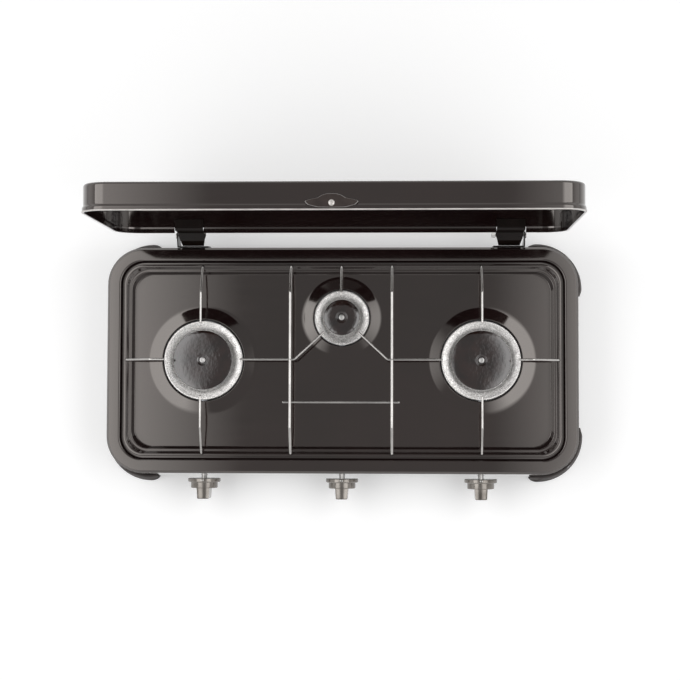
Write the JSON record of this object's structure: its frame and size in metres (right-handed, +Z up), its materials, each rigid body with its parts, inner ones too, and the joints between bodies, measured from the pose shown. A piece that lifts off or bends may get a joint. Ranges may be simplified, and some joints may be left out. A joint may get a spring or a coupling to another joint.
{
  "type": "three-burner gas stove",
  "caption": "Tabletop gas hob with a pressed enamel body, wire pot supports, capped burners, push-and-turn knobs, corner feet and a hinged lid standing open.",
  "frame": {"origin": "centre of the overall footprint on the worktop, lid open", "axes": "+X to the cook's right along the longest side, +Y from the knobs to the hinges, +Z up"},
  "size_m": [0.686, 0.4046, 0.4006],
  "materials": {
    "enamel": "glossy vitreous enamel, brown-black",
    "cap_enamel": "glossy dark brown enamel",
    "chrome_wire": "bright plated wire",
    "chrome_trim": "bright plated",
    "cast_aluminium": "machined, satin",
    "zinc_steel": "zinc plated",
    "brass": "machined",
    "black_plastic": "matt, lightly textured",
    "knob_plastic": "glossy, dark bronze"
  },
  "bodies": {
    "stove_body": {"body_casing": "enamel", "hob_pan": "enamel", "centre_trivet": "chrome_wire", "gas_rail": "zinc_steel", "inlet_pipe": "zinc_steel", "hose_nipple": "brass", "corner_foot_rear_right": "black_plastic", "foot_screw_rear_right": "zinc_steel", "corner_foot_rear_left": "black_plastic", "foot_screw_rear_left": "zinc_steel", "corner_foot_front_left": "black_plastic", "foot_screw_front_left": "zinc_steel", "corner_foot_front_right": "black_plastic", "foot_screw_front_right": "zinc_steel", "prong_left_outer": "chrome_wire", "prong_right_outer": "chrome_wire", "prong_left_front": "chrome_wire", "prong_left_rear": "chrome_wire", "prong_right_front": "chrome_wire", "prong_right_rear": "chrome_wire", "prong_centre_rear": "chrome_wire", "burner_cup_left": "cast_aluminium", "burner_cap_left": "cap_enamel", "cap_screw_left": "zinc_steel", "mixing_tube_left": "zinc_steel", "valve_body_left": "brass", "cross_rail_left": "zinc_steel", "burner_cup_centre": "cast_aluminium", "burner_cap_centre": "cap_enamel", "cap_screw_centre": "zinc_steel", "mixing_tube_centre": "zinc_steel", "valve_body_centre": "brass", "cross_rail_centre": "zinc_steel", "burner_cup_right": "cast_aluminium", "burner_cap_right": "cap_enamel", "cap_screw_right": "zinc_steel", "mixing_tube_right": "zinc_steel", "valve_body_right": "brass", "cross_rail_right": "zinc_steel", "hinge_bracket_left": "enamel", "hinge_pin_left": "zinc_steel", "hinge_bracket_right": "enamel", "hinge_pin_right": "zinc_steel", "hinge_nut_right": "chrome_trim"},
    "lid": {"lid": "enamel", "lid_handle": "enamel", "handle_rivet": "chrome_trim", "hinge_arm_left": "enamel", "hinge_arm_right": "enamel"},
    "valve_plug_left": {"valve_plug_left": "brass"},
    "knob_left": {"knob_left": "knob_plastic", "valve_stem_left": "zinc_steel"},
    "valve_plug_centre": {"valve_plug_centre": "brass"},
    "knob_centre": {"knob_centre": "knob_plastic", "valve_stem_centre": "zinc_steel"},
    "valve_plug_right": {"valve_plug_right": "brass"},
    "knob_right": {"knob_right": "knob_plastic", "valve_stem_right": "zinc_steel"}
  },
  "joints": [
    {"name": "lid_hinge", "type": "hinge", "parent": "stove_body", "child": "lid", "pos_m": [0, 0.1675, 0.084], "axis": [-1, 0, 0], "range_deg": [-88.9, 0]},
    {"name": "valve_turn_left", "type": "hinge", "parent": "stove_body", "child": "valve_plug_left", "pos_m": [-0.195, -0.1605, 0.054], "axis": [0, -1, 0], "range_deg": [0, 210]},
    {"name": "knob_push_left", "type": "slide", "parent": "valve_plug_left", "child": "knob_left", "axis": [0, 1, 0], "range_m": [0, 0.0025], "stiffness_N_per_m": 800, "springref_m": -0.002},
    {"name": "valve_turn_centre", "type": "hinge", "parent": "stove_body", "child": "valve_plug_centre", "pos_m": [0, -0.1605, 0.054], "axis": [0, -1, 0], "range_deg": [0, 210]},
    {"name": "knob_push_centre", "type": "slide", "parent": "valve_plug_centre", "child": "knob_centre", "axis": [0, 1, 0], "range_m": [0, 0.0025], "stiffness_N_per_m": 800, "springref_m": -0.002},
    {"name": "valve_turn_right", "type": "hinge", "parent": "stove_body", "child": "valve_plug_right", "pos_m": [0.195, -0.1605, 0.054], "axis": [0, -1, 0], "range_deg": [0, 210]},
    {"name": "knob_push_right", "type": "slide", "parent": "valve_plug_right", "child": "knob_right", "axis": [0, 1, 0], "range_m": [0, 0.0025], "stiffness_N_per_m": 800, "springref_m": -0.002}
  ]
}
